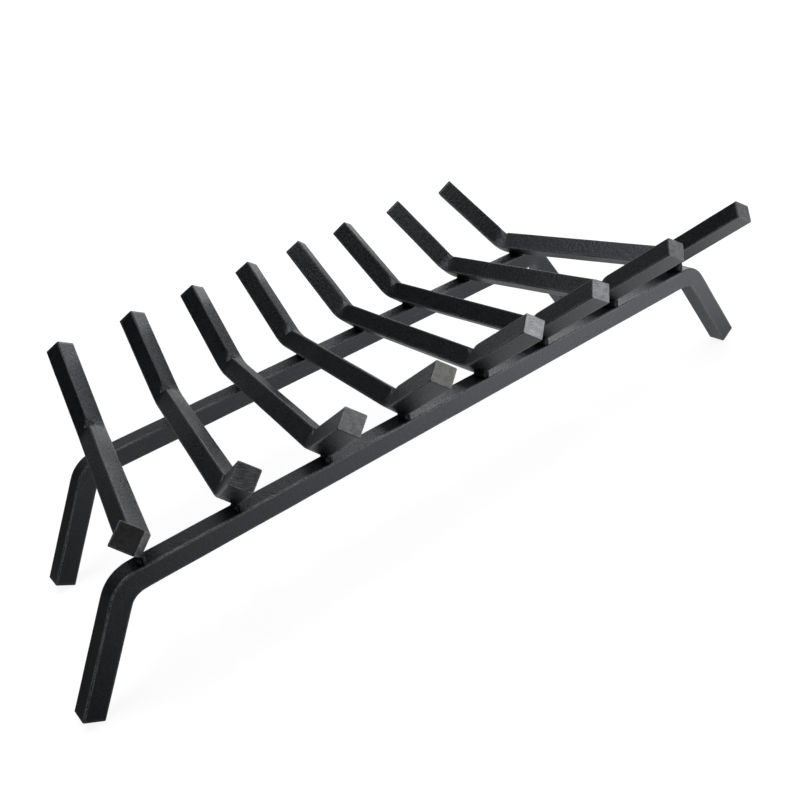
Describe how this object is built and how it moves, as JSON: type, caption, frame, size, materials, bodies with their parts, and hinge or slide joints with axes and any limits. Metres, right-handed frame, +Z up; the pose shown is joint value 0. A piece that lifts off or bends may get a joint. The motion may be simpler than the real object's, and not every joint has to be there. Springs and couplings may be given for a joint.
{
  "type": "log grate",
  "caption": "Free-standing fireplace log grate of solid square steel bar: bars set on edge with upturned ends, fanned over rails whose bent-down ends are splayed legs.",
  "frame": {"origin": "on the floor, at the middle of the whole grate's outline", "axes": "+X to the right along the rails, +Y to the back, +Z up"},
  "size_m": [0.8382, 0.3918, 0.2067],
  "materials": {
    "black_paint": "satin black high-temperature paint on rolled square bar",
    "weld_metal": "painted weld bead, rippled and slightly rough"
  },
  "bodies": {
    "root": {"front_rail": "black_paint", "back_rail": "black_paint", "grate_bar_1": "black_paint", "grate_bar_2": "black_paint", "grate_bar_3": "black_paint", "grate_bar_4": "black_paint", "grate_bar_5": "black_paint", "grate_bar_6": "black_paint", "grate_bar_7": "black_paint", "grate_bar_8": "black_paint", "weld_front_1_left": "weld_metal", "weld_front_1_right": "weld_metal", "weld_front_2_left": "weld_metal", "weld_front_2_right": "weld_metal", "weld_front_3_left": "weld_metal", "weld_front_3_right": "weld_metal", "weld_front_4_left": "weld_metal", "weld_front_4_right": "weld_metal", "weld_front_5_left": "weld_metal", "weld_front_5_right": "weld_metal", "weld_front_6_left": "weld_metal", "weld_front_6_right": "weld_metal", "weld_front_7_left": "weld_metal", "weld_front_7_right": "weld_metal", "weld_front_8_left": "weld_metal", "weld_front_8_right": "weld_metal", "weld_back_1_left": "weld_metal", "weld_back_1_right": "weld_metal", "weld_back_2_left": "weld_metal", "weld_back_2_right": "weld_metal", "weld_back_3_left": "weld_metal", "weld_back_3_right": "weld_metal", "weld_back_4_left": "weld_metal", "weld_back_4_right": "weld_metal", "weld_back_5_left": "weld_metal", "weld_back_5_right": "weld_metal", "weld_back_6_left": "weld_metal", "weld_back_6_right": "weld_metal", "weld_back_7_left": "weld_metal", "weld_back_7_right": "weld_metal", "weld_back_8_left": "weld_metal", "weld_back_8_right": "weld_metal"}
  },
  "joints": []
}
